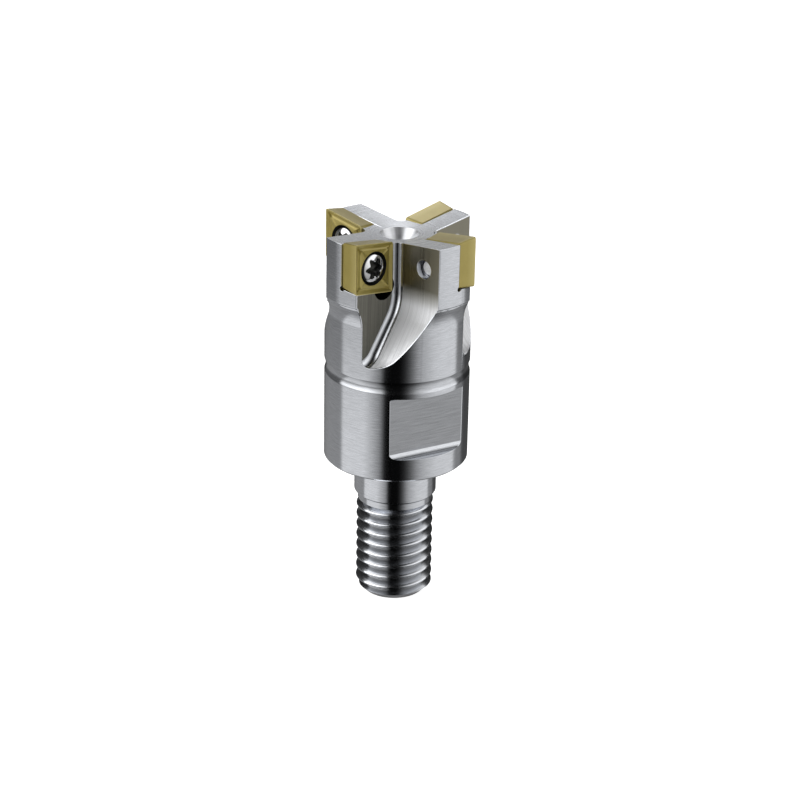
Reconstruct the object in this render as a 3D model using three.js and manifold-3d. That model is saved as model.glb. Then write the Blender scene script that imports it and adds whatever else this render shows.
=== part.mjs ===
// Screw-in indexable face mill: a one-piece steel head on a threaded stub, with four rhombic
// inserts, each clamped in its pocket by one countersunk screw.
// Millimetres. The origin is the centre of the stub's end face, and +Z runs along the tool axis
// towards the cutting end. Each arm has its own frame: X is radial, Y leads in the direction of
// rotation (anticlockwise seen from the cutting end), and Z is the tool axis.

import * as THREE from "three";
import { mergeVertices } from "three/addons/utils/BufferGeometryUtils.js";
import Module from "manifold-3d";

const wasm = await Module();
wasm.setup();

// ---- Driving dimensions ----

const ARMS = 4;
const OUTSIDE = 4; // how far every cutting solid reaches past the metal

const STUB = { radius: 5.9, pitch: 1.75, threadTop: 15.5, tipRadius: 4.65, tipChamfer: 1.2, neck: 5.7 };
const THREAD_FORM = { depth: 0.6134, crest: 0.125 }; // shares of the pitch
const PILOT = { radius: 6.25, bottom: 16.55, chamfer: 0.35 };
const BODY = { radius: 10.9, bottom: 22.6, top: 46.3, chamfer: 0.3 };
const GROOVE = { bottom: 36.5, top: 38.5, depth: 0.2 };
const FLARE = { radius: 11.72, top: 49.15 }; // hollow, from the body's top to the head's underside
const HEAD = { radius: 11.96, bottom: 49.4, rimTop: 58.75, dish: 7, chamfer: 0.2 };
const CENTRE_TOP = { radius: 2.9, drill: 1.25, depth: 6 };
const CENTRE_STUB = { radius: 2, drill: 1, depth: 4 };
const CENTRE_CONE = 60;
const FLATS = { across: 18, bottom: 26.2, top: 35.8, fillet: 0.85, topFillet: 0.3, azimuth: 163.45 };

const FLUTE = { wall: 3, back: 3.43, fillet: 1.2, slope: 35, bendZ: 48.3, tipZ: 40.25 };
const FLUTE_BEND = { upper: 6.5, lower: 3.5 };
const INSERT = { edge: 7.6, corner: 81.55, thickness: 3, clearance: 7, nose: 0.4, reach: 12.12, topZ: 59.35 };
const POCKET = { seat: 0.3, gap: 0.05, undercut: 0.35 };
const RELIEF = { radius: 1.95, inset: 1.45, rise: 0.72, depth: 3 }; // hole under the insert's inner corner
const HOLE = { radius: 1.65, rim: 2.5, coneBottom: 1.45, cone: 60 };
const SCREW = { shank: 1.3, bore: 1.35, point: 0.25, end: -2.83 };
const SCREW_HEAD = { radius: 2.15, top: 3.4, land: 0.4, flat: 1.7, seatGap: 0.04 };
const SOCKET = { mean: 1.3, lobe: 0.25, depth: 1.5, lobes: 6 };

const FACETS = { body: 60, thread: 36, screw: 20, undercut: 8, arc: 4, nose: 3, socketPerLobe: 4 };

const rad = THREE.MathUtils.degToRad;
const axisZ = new THREE.Vector3(0, 0, 1);
const hubTop = HEAD.rimTop - (HEAD.radius - CENTRE_TOP.radius) * Math.tan(rad(HEAD.dish));

// ---- Solids ----

// A closed three.js geometry as a manifold solid.
function solidOf(geometry) {
  const bare = new THREE.BufferGeometry();
  bare.setAttribute("position", geometry.getAttribute("position"));
  if (geometry.index) bare.setIndex(geometry.index);
  const merged = mergeVertices(bare, 1e-4);
  const triangles = [];
  const index = merged.index.array;
  for (let i = 0; i < index.length; i += 3) {
    const [a, b, c] = index.slice(i, i + 3);
    if (a !== b && b !== c && c !== a) triangles.push(a, b, c);
  }
  const mesh = new wasm.Mesh({
    numProp: 3,
    vertProperties: new Float32Array(merged.attributes.position.array),
    triVerts: new Uint32Array(triangles),
  });
  return new wasm.Manifold(mesh);
}

// A manifold solid as a geometry with flat-shaded faces.
function geometryOf(solid) {
  const mesh = solid.getMesh();
  const geometry = new THREE.BufferGeometry();
  geometry.setAttribute("position", new THREE.BufferAttribute(mesh.vertProperties, 3));
  geometry.setIndex(new THREE.BufferAttribute(mesh.triVerts, 1));
  const flat = geometry.toNonIndexed();
  flat.computeVertexNormals();
  return flat;
}

// A profile of [radius, height] points turned about the Y axis.
function turned(points, facets) {
  const profile = points.map(([radius, height]) => new THREE.Vector2(radius, height));
  return new THREE.LatheGeometry(profile, facets);
}

// The same, turned about the Z axis.
function turnedUp(points, facets) {
  return turned(points, facets).rotateX(Math.PI / 2);
}

// A shape drawn in an arm's X-Z plane, carried along Y from one lead to another.
// A fillet rounds both of its ends.
function alongLead(shape, from, to, fillet = 0) {
  const geometry = new THREE.ExtrudeGeometry(shape, {
    depth: to - from - 2 * fillet,
    curveSegments: FACETS.nose,
    bevelEnabled: fillet > 0,
    bevelThickness: fillet,
    bevelSize: fillet,
    bevelOffset: -fillet,
    bevelSegments: FACETS.arc,
  });
  return geometry.rotateX(Math.PI / 2).translate(0, to - fillet, 0);
}

// The points of a circular arc between two angles, as [x, y] pairs.
function arcPoints(x, y, radius, start, end) {
  const curve = new THREE.EllipseCurve(x, y, radius, radius, start, end, end < start);
  return curve.getPoints(FACETS.arc).map((point) => [point.x, point.y]);
}

// A helical rod: its radius follows the thread form, which climbs one pitch in each turn.
function helicalRod(form, pitch, bottom, top, facets) {
  const turns = Math.ceil((top - bottom) / pitch) + 1;
  const rows = turns * form.length + 1;
  const positions = [];
  for (let column = 0; column < facets; column++) {
    const angle = (2 * Math.PI * column) / facets;
    for (let row = 0; row < rows; row++) {
      const [share, radius] = form[row % form.length];
      const turn = Math.floor(row / form.length) + share + column / facets;
      positions.push(radius * Math.cos(angle), radius * Math.sin(angle), bottom + turn * pitch);
    }
  }
  const at = (column, row) => column * rows + row;
  const triangles = [];
  for (let column = 0; column < facets; column++) {
    const wraps = column === facets - 1;
    const next = wraps ? 0 : column + 1;
    const lift = wraps ? form.length : 0;
    for (let row = 0; row + 1 + lift < rows; row++) {
      triangles.push(at(column, row), at(next, row + lift), at(next, row + 1 + lift));
      triangles.push(at(column, row), at(next, row + 1 + lift), at(column, row + 1));
    }
  }
  const lowRim = [];
  const highRim = [];
  for (let column = 0; column < facets; column++) {
    lowRim.push(at(column, 0));
    highRim.push(at(column, rows - 1));
  }
  for (let row = form.length; row > 0; row--) lowRim.push(at(0, row));
  for (let row = rows - 2; row >= rows - 1 - form.length; row--) highRim.push(at(facets - 1, row));
  const fan = (rim, height, outward) => {
    const centre = positions.length / 3;
    positions.push(0, 0, height);
    rim.forEach((vertex, i) => {
      const following = rim[(i + 1) % rim.length];
      triangles.push(centre, ...(outward ? [vertex, following] : [following, vertex]));
    });
  };
  fan(lowRim, bottom + pitch / 2, false);
  fan(highRim, bottom + (turns + 0.5) * pitch, true);
  const geometry = new THREE.BufferGeometry();
  geometry.setAttribute("position", new THREE.Float32BufferAttribute(positions, 3));
  geometry.setIndex(triangles);
  return geometry;
}

// ---- Cutter body ----

// The metric external thread on the stub, trimmed to its chamfered end.
function threadedStub() {
  const { radius, pitch, threadTop, tipRadius, tipChamfer } = STUB;
  const root = radius - THREAD_FORM.depth * pitch;
  const form = [[0, root], [0.5 - THREAD_FORM.crest / 2, radius], [0.5 + THREAD_FORM.crest / 2, radius]];
  const rod = solidOf(helicalRod(form, pitch, -2 * pitch, threadTop + pitch, FACETS.thread));
  const overlap = 0.1; // into the relief groove above, and clear of the crests all round
  const chamferSlope = tipChamfer / (radius - tipRadius);
  const outline = [
    [0, 0],
    [tipRadius, 0],
    [radius + overlap, tipChamfer + overlap * chamferSlope],
    [radius + overlap, threadTop + overlap],
    [0, threadTop + overlap],
  ];
  return rod.intersect(solidOf(turnedUp(outline, FACETS.thread)));
}

// Everything above the thread that a lathe makes.
function turnedHead() {
  const grooveHalf = (GROOVE.top - GROOVE.bottom) / 2;
  const grooveRadius = (grooveHalf ** 2 + GROOVE.depth ** 2) / (2 * GROOVE.depth);
  const grooveCentre = BODY.radius - GROOVE.depth + grooveRadius;
  const grooveAngle = Math.asin(grooveHalf / grooveRadius);
  const groove = arcPoints(
    grooveCentre, (GROOVE.top + GROOVE.bottom) / 2, grooveRadius,
    Math.PI + grooveAngle, Math.PI - grooveAngle,
  );
  const flareStep = FLARE.radius - BODY.radius;
  const flareRise = FLARE.top - BODY.top;
  const flareArc = (flareRise ** 2 + flareStep ** 2) / (2 * flareStep);
  const flare = arcPoints(
    BODY.radius + flareArc, BODY.top, flareArc,
    Math.PI, Math.PI - Math.asin(flareRise / flareArc),
  );
  return solidOf(turnedUp([
    [0, STUB.threadTop],
    [STUB.neck, STUB.threadTop],
    [STUB.neck, PILOT.bottom],
    [PILOT.radius - PILOT.chamfer, PILOT.bottom],
    [PILOT.radius, PILOT.bottom + PILOT.chamfer],
    [PILOT.radius, BODY.bottom],
    [BODY.radius - BODY.chamfer, BODY.bottom],
    [BODY.radius, BODY.bottom + BODY.chamfer],
    ...groove,
    ...flare,
    [FLARE.radius, HEAD.bottom],
    [HEAD.radius - HEAD.chamfer, HEAD.bottom],
    [HEAD.radius, HEAD.bottom + HEAD.chamfer],
    [HEAD.radius, HEAD.rimTop],
    [CENTRE_TOP.radius, hubTop],
    [0, hubTop],
  ], FACETS.body));
}

// A centre-drilled hole whose mouth is at height 0 and which runs down into the metal.
function centreHole({ radius, drill, depth }) {
  const coneDepth = (radius - drill) / Math.tan(rad(CENTRE_CONE / 2));
  return turnedUp([
    [0, -depth],
    [drill, -depth + drill / 2],
    [drill, -coneDepth],
    [radius, 0],
    [radius, OUTSIDE],
    [0, OUTSIDE],
  ], FACETS.screw);
}

// The metal outside one wrench flat, which faces along X before it is turned: the cut runs
// straight across, with its two inner corners rounded.
function flatCut(azimuth) {
  const { bottom, top, fillet, topFillet } = FLATS;
  const face = FLATS.across / 2;
  const section = [
    [face + OUTSIDE, bottom],
    [face + OUTSIDE, top],
    ...arcPoints(face + topFillet, top - topFillet, topFillet, Math.PI / 2, Math.PI),
    ...arcPoints(face + fillet, bottom + fillet, fillet, Math.PI, 1.5 * Math.PI),
  ];
  const shape = new THREE.Shape(section.map(([across, z]) => new THREE.Vector2(across, z)));
  return alongLead(shape, -BODY.radius, BODY.radius).rotateZ(azimuth);
}

// The chip flute ahead of one arm: a flat wall behind it, and a floor that falls away outwards
// from the back face of the next arm.
function fluteCut() {
  const { back, slope, bendZ, tipZ } = FLUTE;
  const lean = rad(slope);
  const outer = HEAD.radius + 2 * OUTSIDE;
  const upper = HEAD.rimTop + 2 * OUTSIDE;
  const tipU = back + (bendZ - tipZ) * Math.tan(lean);
  const turn = (Math.PI / 2 - lean) / 2;
  const upperZ = bendZ + FLUTE_BEND.upper * Math.tan(lean / 2);
  const lowerU = tipU + FLUTE_BEND.lower * Math.tan(turn);
  const outline = [
    [outer, tipZ],
    [outer, upper],
    [back, upper],
    ...arcPoints(back + FLUTE_BEND.upper, upperZ, FLUTE_BEND.upper, Math.PI, Math.PI + lean),
    ...arcPoints(lowerU, tipZ + FLUTE_BEND.lower, FLUTE_BEND.lower, Math.PI + lean, 1.5 * Math.PI),
  ];
  const shape = new THREE.Shape(outline.map(([u, z]) => new THREE.Vector2(u, z)));
  return alongLead(shape, FLUTE.wall, outer, FLUTE.fillet);
}

// ---- Insert and pocket ----

const halfWidth = (INSERT.edge * Math.sin(rad(INSERT.corner))) / 2;
const cornerDrop = INSERT.edge * Math.cos(rad(INSERT.corner));
const topHalf = (INSERT.edge + cornerDrop) / 2;
const lowHalf = (INSERT.edge - cornerDrop) / 2;
const insertU = INSERT.reach - halfWidth;
const insertZ = INSERT.topZ - topHalf;
const flankRun = Math.tan(rad(INSERT.clearance));
const edgeTilt = rad(90 - INSERT.corner); // of the insert's lower edge, rising outwards
const cornerFall = Math.tan(edgeTilt) + 1 / Math.cos(edgeTilt); // the corner's fall for each unit of outset

// A polygon's outline with every corner rounded.
function roundedOutline(corners, radius) {
  const shape = new THREE.Shape();
  corners.forEach((corner, i) => {
    const before = corners[(i + corners.length - 1) % corners.length].clone().sub(corner).setLength(radius);
    const after = corners[(i + 1) % corners.length].clone().sub(corner).setLength(radius);
    if (i === 0) shape.moveTo(corner.x + before.x, corner.y + before.y);
    else shape.lineTo(corner.x + before.x, corner.y + before.y);
    shape.quadraticCurveTo(corner.x, corner.y, corner.x + after.x, corner.y + after.y);
  });
  shape.closePath();
  return shape;
}

// One insert, with its base at lead 0 and its centre on the Y axis: a rhombic plate that narrows
// towards its base, with a countersunk hole.
function insertSolid() {
  const corners = [
    new THREE.Vector2(halfWidth, topHalf),
    new THREE.Vector2(-halfWidth, lowHalf),
    new THREE.Vector2(-halfWidth, -topHalf),
    new THREE.Vector2(halfWidth, -lowHalf),
  ];
  const plate = alongLead(roundedOutline(corners, INSERT.nose), 0, INSERT.thickness);
  const baseScale = 1 - (INSERT.thickness * flankRun) / halfWidth;
  const position = plate.getAttribute("position");
  for (let i = 0; i < position.count; i++) {
    const scale = position.getY(i) < INSERT.thickness / 2 ? baseScale : 1;
    position.setX(i, position.getX(i) * scale);
    position.setZ(i, position.getZ(i) * scale);
  }
  const coneTop = HOLE.coneBottom + (HOLE.rim - HOLE.radius) / Math.tan(rad(HOLE.cone / 2));
  const hole = turned([
    [0, -OUTSIDE],
    [HOLE.radius, -OUTSIDE],
    [HOLE.radius, HOLE.coneBottom],
    [HOLE.rim, coneTop],
    [HOLE.rim, INSERT.thickness + OUTSIDE],
    [0, INSERT.thickness + OUTSIDE],
  ], FACETS.screw);
  return solidOf(plate).subtract(solidOf(hole));
}

// The pocket in one arm: a seat with two walls that lean as the insert's flanks do.
function pocketCut() {
  const { seat, gap } = POCKET;
  const depth = INSERT.thickness + OUTSIDE;
  const run = 2 * halfWidth + OUTSIDE;
  const outset = gap + OUTSIDE * flankRun;
  const innerU = insertU - halfWidth - outset;
  const innerZ = insertZ - topHalf - outset * cornerFall;
  const shape = new THREE.Shape();
  shape.moveTo(innerU, innerZ);
  shape.lineTo(innerU + run, innerZ + run * Math.tan(edgeTilt));
  shape.lineTo(innerU + run, INSERT.topZ + OUTSIDE);
  shape.lineTo(innerU, INSERT.topZ + OUTSIDE);
  const cut = alongLead(shape, seat - gap, seat + depth);
  const inset = (depth + gap) * flankRun;
  const position = cut.getAttribute("position");
  for (let i = 0; i < position.count; i++) {
    if (position.getY(i) > seat) continue;
    position.setX(i, position.getX(i) + inset);
    position.setZ(i, position.getZ(i) + inset * cornerFall);
  }
  return cut;
}

// The groove along the foot of the pocket's lower wall, which clears the insert's base edge.
function pocketUndercut() {
  const { seat, gap, undercut } = POCKET;
  const outset = gap - INSERT.thickness * flankRun;
  const cornerU = insertU - halfWidth - outset;
  const cornerZ = insertZ - topHalf - outset * cornerFall;
  const reach = 2 * halfWidth + 2 * OUTSIDE;
  return new THREE.CylinderGeometry(undercut, undercut, reach, FACETS.undercut)
    .translate(0, reach / 2, 0)
    .rotateZ(-Math.PI / 2)
    .rotateY(-edgeTilt)
    .translate(cornerU, seat, cornerZ);
}

// The relief hole under the insert's inner corner, and the clearance bore for the screw.
function pocketHoles() {
  const reliefZ = insertZ - topHalf + RELIEF.inset * Math.tan(edgeTilt) + RELIEF.rise;
  const reliefLength = RELIEF.depth + OUTSIDE;
  const relief = new THREE.CylinderGeometry(RELIEF.radius, RELIEF.radius, reliefLength, FACETS.screw)
    .translate(insertU - halfWidth + RELIEF.inset, FLUTE.wall + OUTSIDE - reliefLength / 2, reliefZ);
  const boreLength = FLUTE.back + POCKET.seat + 2 * OUTSIDE;
  const bore = new THREE.CylinderGeometry(SCREW.bore, SCREW.bore, boreLength, FACETS.screw)
    .translate(insertU, POCKET.seat + OUTSIDE - boreLength / 2, insertZ);
  return [relief, bore];
}

// The finished steel body: turned, threaded, then milled in each arm's frame.
function bodySolid() {
  let body = turnedHead().add(threadedStub());
  body = body.subtract(solidOf(centreHole(CENTRE_TOP).translate(0, 0, hubTop)));
  body = body.subtract(solidOf(centreHole(CENTRE_STUB).rotateX(Math.PI)));
  for (const side of [0, Math.PI]) {
    body = body.subtract(solidOf(flatCut(rad(FLATS.azimuth) + side)));
  }
  const armCuts = [fluteCut(), pocketCut(), pocketUndercut(), ...pocketHoles()];
  for (let arm = 0; arm < ARMS; arm++) {
    const turn = new THREE.Matrix4().makeRotationAxis(axisZ, armAzimuth(arm));
    for (const cut of armCuts) body = body.subtract(solidOf(cut.clone().applyMatrix4(turn)));
  }
  return body;
}

function armAzimuth(arm) {
  return (2 * Math.PI * arm) / ARMS;
}

// ---- Insert screw ----

// The hexalobular socket's cut, from the head's top down to the socket floor.
function socketCut() {
  const { mean, lobe, depth, lobes } = SOCKET;
  const count = lobes * FACETS.socketPerLobe;
  const shape = new THREE.Shape();
  for (let i = 0; i < count; i++) {
    const angle = (2 * Math.PI * i) / count;
    const radius = mean + lobe * Math.cos(lobes * angle);
    shape.lineTo(radius * Math.cos(angle), radius * Math.sin(angle));
  }
  return alongLead(shape, SCREW_HEAD.top - depth, SCREW_HEAD.top + OUTSIDE);
}

// One countersunk screw about the Y axis, in its insert's frame.
function screwSolid() {
  const { radius, top, land, flat, seatGap } = SCREW_HEAD;
  const slope = Math.tan(rad(HOLE.cone / 2));
  const coneHeight = (across) => HOLE.coneBottom + (across + seatGap - HOLE.radius) / slope;
  const rimTop = coneHeight(radius) + land;
  const domed = arcPoints(0, 0, 1, 0, Math.PI / 2).map(([across, up]) => [
    flat + (radius - flat) * across,
    rimTop + (top - rimTop) * up,
  ]);
  const body = turned([
    [0, SCREW.end],
    [SCREW.shank - SCREW.point, SCREW.end],
    [SCREW.shank, SCREW.end + SCREW.point],
    [SCREW.shank, coneHeight(SCREW.shank)],
    [radius, coneHeight(radius)],
    ...domed,
    [0, top],
  ], FACETS.screw);
  return solidOf(body).subtract(solidOf(socketCut()));
}

// ---- Assembly ----

const steel = new THREE.MeshStandardMaterial({ color: 0xb6bac2, roughness: 0.3, metalness: 1 });
const coatedCarbide = new THREE.MeshStandardMaterial({ color: 0x9d8f45, roughness: 0.45, metalness: 0.7 });
const polishedSteel = new THREE.MeshStandardMaterial({ color: 0xd2d4d8, roughness: 0.15, metalness: 1 });

function named(name, solid, material) {
  const mesh = new THREE.Mesh(geometryOf(solid), material);
  mesh.name = name;
  return mesh;
}

const faceMill = new THREE.Group();
faceMill.add(named("cutter_body", bodySolid(), steel));

const insert = insertSolid();
const screw = screwSolid();
for (let arm = 0; arm < ARMS; arm++) {
  const turn = new THREE.Group();
  turn.rotation.z = armAzimuth(arm);
  const station = new THREE.Group();
  station.position.set(insertU, POCKET.seat, insertZ);
  station.add(named(`insert_${arm + 1}`, insert, coatedCarbide));
  station.add(named(`insert_screw_${arm + 1}`, screw, polishedSteel));
  turn.add(station);
  faceMill.add(turn);
}

export default faceMill;
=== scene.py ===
"""Looks for the screw-in face mill: fine meshes, procedural metals, studio light and camera.

Shapes are made in millimetres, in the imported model's frame, and scaled to metres as each mesh is
finished. An arm's own frame has u radial, w leading in the direction of rotation, and z up.
"""

import math

import bmesh
import bpy
from mathutils import Matrix, Vector


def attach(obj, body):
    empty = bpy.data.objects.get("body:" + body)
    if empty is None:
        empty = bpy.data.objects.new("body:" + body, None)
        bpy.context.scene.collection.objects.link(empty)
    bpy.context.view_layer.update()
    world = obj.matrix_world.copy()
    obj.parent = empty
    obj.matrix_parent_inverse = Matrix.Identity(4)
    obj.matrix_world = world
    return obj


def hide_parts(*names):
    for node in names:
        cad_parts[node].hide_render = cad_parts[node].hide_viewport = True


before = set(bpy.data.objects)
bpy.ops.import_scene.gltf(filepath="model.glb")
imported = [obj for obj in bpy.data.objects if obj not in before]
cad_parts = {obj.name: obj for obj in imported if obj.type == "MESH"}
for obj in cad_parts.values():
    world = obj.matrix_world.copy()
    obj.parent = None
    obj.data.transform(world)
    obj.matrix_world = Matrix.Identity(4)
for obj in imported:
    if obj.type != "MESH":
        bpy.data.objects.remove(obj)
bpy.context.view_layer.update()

# ---- Sizes: millimetres, with angles in degrees ----

MM = 0.001
ARMS = 4
OUTSIDE = 4.0  # how far every cutting solid reaches past the metal

STUB = dict(radius=5.9, pitch=1.75, top=15.5, tip_radius=4.65, tip_chamfer=1.2, neck=5.7)
THREAD = dict(depth=0.6134, crest=0.2, flank=30.0, rounding=0.2)  # depth, crest: shares of the pitch
PILOT = dict(radius=6.25, bottom=16.55, chamfer=0.35)
BODY = dict(radius=10.9, bottom=22.6, top=46.3, chamfer=0.3)
GROOVE = dict(bottom=36.5, top=38.5, depth=0.2)
FLARE = dict(radius=11.72, top=49.15)
HEAD = dict(radius=11.96, bottom=49.4, rim_top=58.75, dish=7.0, chamfer=0.2)
CENTRE_TOP = dict(radius=2.9, drill=1.25, depth=6.0)
CENTRE_STUB = dict(radius=2.0, drill=1.0, depth=4.0)
CENTRE_CONE = 60.0
FLATS = dict(across=18.0, bottom=26.2, top=35.8, fillet=0.85, top_fillet=0.3, azimuth=163.45)
FLUTE = dict(wall=3.0, back=3.43, fillet=1.2, slope=35.0, bend_z=48.3, tip_z=40.25)
FLUTE_BEND = dict(upper=6.5, lower=3.5)
INSERT = dict(edge=7.6, corner=81.55, thickness=3.0, clearance=7.0, reach=12.12, top_z=59.35)
POCKET = dict(seat=0.3, gap=0.05, undercut=0.35)
RELIEF = dict(radius=1.95, inset=1.45, rise=0.72, depth=3.0)
HOLE = dict(radius=1.65, rim=2.5, cone_bottom=1.45, cone=60.0)
SCREW = dict(
    shank=1.3, neck=1.25, bore=1.35, end=-2.83, point=0.25, chamfer=0.1, pitch=0.5, thread_depth=0.26,
    thread_top=0.9, runout=0.25,
)
SCREW_HEAD = dict(radius=2.15, top=3.4, land=0.4, flat=1.78, edge=0.03, rim_round=0.12, seat_gap=0.04)
SOCKET = dict(
    mean=1.35, lobe=0.28, lobes=6, depth=1.5, chamfer=0.11, draft=0.02, dish=0.6, dish_depth=0.12,
    drill_depth=0.3,
)

TURNED_FACETS = 240
THREAD_FACETS = 144
THREAD_ROWS = 16  # rows of points in each pitch of the stub's thread
ROUND_FACETS = 72
ARC_STEPS = 10
EDGE_BREAK = 0.13  # the small chamfer that deburring leaves on milled edges
SHARP_EDGE = 24.0  # the least angle that counts as an edge of the body

# The insert's centre is at (INSERT_U, INSERT_Z). Its outer edge is upright, with its top corner at
# (HALF_WIDTH, TOP_HALF) from the centre, and the top inner corner is at (-HALF_WIDTH, LOW_HALF).
HALF_WIDTH = INSERT["edge"] * math.sin(math.radians(INSERT["corner"])) / 2
CORNER_DROP = INSERT["edge"] * math.cos(math.radians(INSERT["corner"]))
TOP_HALF = (INSERT["edge"] + CORNER_DROP) / 2
LOW_HALF = (INSERT["edge"] - CORNER_DROP) / 2
INSERT_U = INSERT["reach"] - HALF_WIDTH
INSERT_Z = INSERT["top_z"] - TOP_HALF
FLANK_RUN = math.tan(math.radians(INSERT["clearance"]))
EDGE_TILT = math.radians(90 - INSERT["corner"])  # radians
CORNER_FALL = math.tan(EDGE_TILT) + 1 / math.cos(EDGE_TILT)  # of the pocket's corner, per unit of outset
RELIEF_U = INSERT_U - HALF_WIDTH + RELIEF["inset"]
RELIEF_Z = INSERT_Z - TOP_HALF + RELIEF["inset"] * math.tan(EDGE_TILT) + RELIEF["rise"]
MILLED_ABOVE = BODY["bottom"] + 1.0  # every milled edge lies above this height
HUB_TOP = HEAD["rim_top"] - (HEAD["radius"] - CENTRE_TOP["radius"]) * math.tan(math.radians(HEAD["dish"]))


# ---- Mesh tools ----

def mesh_of(points, faces):
    """A closed mesh with its faces turned outwards."""
    mesh = bpy.data.meshes.new("solid")
    mesh.from_pydata([tuple(point) for point in points], [], faces)
    work = bmesh.new()
    work.from_mesh(mesh)
    bmesh.ops.recalc_face_normals(work, faces=work.faces)
    work.to_mesh(mesh)
    work.free()
    return mesh


def turned(profile, facets):
    """A profile of (radius, height) from axis to axis, turned about the tool axis."""
    points, faces, rings = [], [], []
    for radius, height in profile:
        first = len(points)
        count = facets if radius > 0 else 1
        rings.append(range(first, first + count))
        for i in range(count):
            angle = 2 * math.pi * i / facets
            points.append((radius * math.cos(angle), radius * math.sin(angle), height))
    for lower, upper in zip(rings, rings[1:]):
        for i in range(facets):
            j = (i + 1) % facets
            corners = [lower[i % len(lower)], lower[j % len(lower)]]
            corners += [upper[j % len(upper)], upper[i % len(upper)]]
            faces.append(list(dict.fromkeys(corners)))
    return mesh_of(points, faces)


def lofted(sections, ring=False):
    """A closed solid through outlines that have the same number of points.

    In a ring the last outline joins the first, and otherwise both of them are filled.
    """
    count = len(sections[0])
    points = [point for section in sections for point in section]
    faces = [] if ring else [list(range(count)), list(range(len(points) - count, len(points)))]
    for row in range(len(sections) if ring else len(sections) - 1):
        low, high = row * count, (row + 1) % len(sections) * count
        for i in range(count):
            j = (i + 1) % count
            faces.append([low + i, low + j, high + j, high + i])
    return mesh_of(points, faces)


def arc(x, y, radius, start, end, steps=ARC_STEPS):
    """Points of a circular arc between two angles."""
    angles = [start + (end - start) * i / steps for i in range(steps + 1)]
    return [(x + radius * math.cos(a), y + radius * math.sin(a)) for a in angles]


def inset(outline, distance):
    """An anticlockwise outline moved inwards by a distance."""
    moved = []
    for i, (x, y) in enumerate(outline):
        before = Vector(outline[i]) - Vector(outline[i - 1])
        after = Vector(outline[(i + 1) % len(outline)]) - Vector(outline[i])
        first = Vector((-before.y, before.x)).normalized()
        second = Vector((-after.y, after.x)).normalized()
        shift = (first + second) * (distance / (1 + first.dot(second)))
        moved.append((x + shift.x, y + shift.y))
    return moved


def along_lead(outline, start, end, fillet=0.0):
    """An outline in (u, z) carried from one lead to another, with both ends rounded by a fillet."""
    steps = ARC_STEPS if fillet else 0
    rounds = [math.pi / 2 * i / ARC_STEPS for i in range(steps + 1)]
    near = [(fillet * (1 - math.sin(a)), fillet * (1 - math.cos(a))) for a in rounds]
    sections = [(start + depth, inward) for inward, depth in near]
    sections += [(end - depth, inward) for inward, depth in reversed(near)]
    return lofted([
        [(u, w, z) for u, z in (inset(outline, inward) if inward else outline)]
        for w, inward in sections
    ])


def cylinder_along_lead(u, z, radius, start, end):
    return along_lead(arc(u, z, radius, 0, 2 * math.pi, ROUND_FACETS)[:-1], start, end)


def turned_by(mesh, angle):
    """A copy of a mesh, turned about the tool axis."""
    copy = mesh.copy()
    copy.transform(Matrix.Rotation(angle, 4, "Z"))
    return copy


def combined(mesh, others, operation):
    """A mesh cut, joined or trimmed by other meshes."""
    scene = bpy.context.scene.collection
    whole = bpy.data.objects.new("whole", mesh)
    scene.objects.link(whole)
    tools = []
    for other in others:
        tool = bpy.data.objects.new("tool", other)
        scene.objects.link(tool)
        tools.append(tool)
        step = whole.modifiers.new("step", "BOOLEAN")
        step.operation = operation
        step.solver = "MANIFOLD"
        step.object = tool
    depsgraph = bpy.context.evaluated_depsgraph_get()
    result = bpy.data.meshes.new_from_object(whole.evaluated_get(depsgraph))
    for made in [whole, *tools]:
        bpy.data.objects.remove(made)
    return result


def smooth_with_creases(work, degrees):
    """Smooth faces, with creases where they meet at more than an angle."""
    for face in work.faces:
        face.smooth = True
    for edge in work.edges:
        if len(edge.link_faces) == 2:
            edge.smooth = edge.calc_face_angle() < math.radians(degrees)


def shade_by_angle(mesh, degrees):
    work = bmesh.new()
    work.from_mesh(mesh)
    smooth_with_creases(work, degrees)
    work.to_mesh(mesh)
    work.free()


def evenly_shaded(mesh):
    """The mesh with normals that follow its large faces, so that chamfers don't bend their shading."""
    whole = bpy.data.objects.new("whole", mesh)
    bpy.context.scene.collection.objects.link(whole)
    weighting = whole.modifiers.new("weighting", "WEIGHTED_NORMAL")
    weighting.keep_sharp = True
    weighting.weight = 100
    depsgraph = bpy.context.evaluated_depsgraph_get()
    result = bpy.data.meshes.new_from_object(whole.evaluated_get(depsgraph))
    bpy.data.objects.remove(whole)
    return result


def finished_piece(name, mesh, node):
    """A mesh in millimetres as a piece that stands for a CAD node and rides on its body."""
    mesh.transform(Matrix.Scale(MM, 4))
    mesh.name = name
    piece = bpy.data.objects.new(name, mesh)
    bpy.context.scene.collection.objects.link(piece)
    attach(piece, node)
    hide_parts(node)


def arm_azimuth(arm):
    return 2 * math.pi * arm / ARMS


# ---- Cutter body: shape ----

def smooth_clamp(value, softness):
    """A value held between 0 and 1, with both corners rounded."""
    low = math.sqrt(value * value + softness * softness)
    held = (value + low) / 2
    high = 1 - held
    return 1 - (high + math.sqrt(high * high + softness * softness)) / 2


def thread_radius(share):
    """The thread's radius at a share of the pitch, with the crest at one half."""
    pitch, radius = STUB["pitch"], STUB["radius"]
    depth = THREAD["depth"] * pitch
    past_crest = abs(share - 0.5) * pitch - THREAD["crest"] * pitch / 2
    fall = past_crest / (depth * math.tan(math.radians(THREAD["flank"])))
    return radius - depth * smooth_clamp(fall, THREAD["rounding"])


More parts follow.
